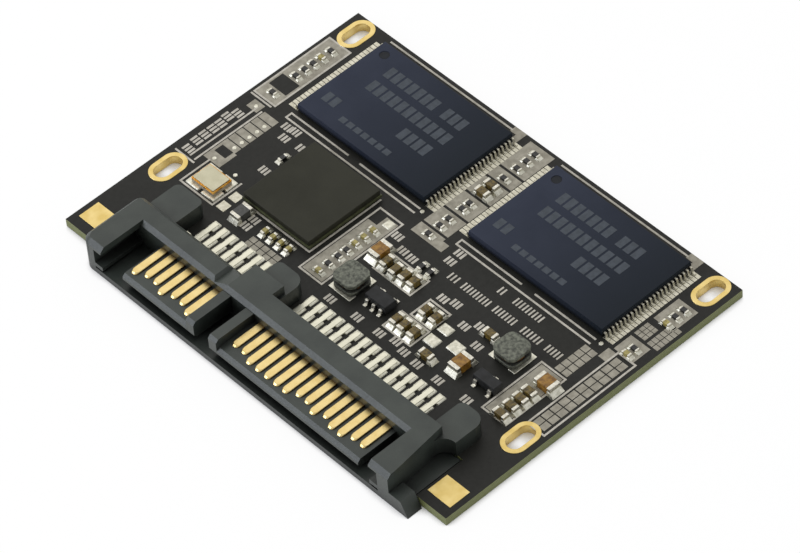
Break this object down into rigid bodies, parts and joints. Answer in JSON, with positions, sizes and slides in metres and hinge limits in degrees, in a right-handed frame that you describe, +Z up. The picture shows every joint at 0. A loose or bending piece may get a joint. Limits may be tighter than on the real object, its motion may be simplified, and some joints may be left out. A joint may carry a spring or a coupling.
{
  "type": "sata solid state drive module",
  "caption": "Bare circuit-board solid state drive with flash chips, a controller and a keyed serial plug set into one long edge, for screwing flat inside a computer.",
  "frame": {"origin": "middle of the four screw slots, on the underside of the board", "axes": "+X out of the plug's mouth, +Y along the board's long edge, +Z up out of the component side"},
  "size_m": [0.0409, 0.054, 0.004],
  "materials": {
    "solder_mask": "black solder mask over glass laminate",
    "gold_plating": "gold-plated copper",
    "housing_plastic": "moulded, fine matt",
    "contact_gold": "stamped and gold-plated",
    "mould_compound": "transfer-moulded, satin",
    "controller_compound": "moulded cap, satin",
    "lead_tin": "matt tin plate",
    "solder": "bright reflowed solder",
    "laminate": "package laminate edge",
    "crystal_ceramic": "fired ceramic",
    "crystal_gold": "gold-plated seal ring",
    "crystal_metal": "satin metal lid",
    "ferrite": "sintered ferrite",
    "winding_resin": "dark resin over wire",
    "package_black": "moulded package",
    "capacitor_brown": "fired brown ceramic",
    "capacitor_tan": "fired tan ceramic",
    "resistor_black": "glass-coated film",
    "bead_grey": "fired ferrite bead",
    "end_tin": "tinned end caps",
    "legend_ink": "screen-printed epoxy ink",
    "package_print": "pale laser marking"
  },
  "bodies": {
    "root": {"circuit_board": "solder_mask", "slot_plating": "gold_plating", "corner_pads": "gold_plating", "connector_housing": "housing_plastic", "signal_contacts": "contact_gold", "power_contacts": "contact_gold", "flash_chip_left": "mould_compound", "flash_chip_right": "mould_compound", "flash_leads_left": "lead_tin", "flash_leads_right": "lead_tin", "controller_balls": "solder", "controller_substrate": "laminate", "controller_cap": "controller_compound", "crystal_base": "crystal_ceramic", "crystal_seal_ring": "crystal_gold", "crystal_lid": "crystal_metal", "inductor_cores": "ferrite", "inductor_coatings": "winding_resin", "inductor_terminals": "solder", "regulator_body": "package_black", "regulator_leads": "end_tin", "transistor_body": "package_black", "transistor_leads": "end_tin", "bulk_capacitor_bodies": "capacitor_brown", "bulk_capacitor_ends": "end_tin", "medium_capacitor_bodies": "capacitor_brown", "medium_capacitor_ends": "end_tin", "small_capacitor_bodies": "capacitor_tan", "small_capacitor_ends": "end_tin", "small_resistor_bodies": "resistor_black", "small_resistor_ends": "end_tin", "ferrite_bead_bodies": "bead_grey", "ferrite_bead_ends": "end_tin"}
  },
  "joints": []
}
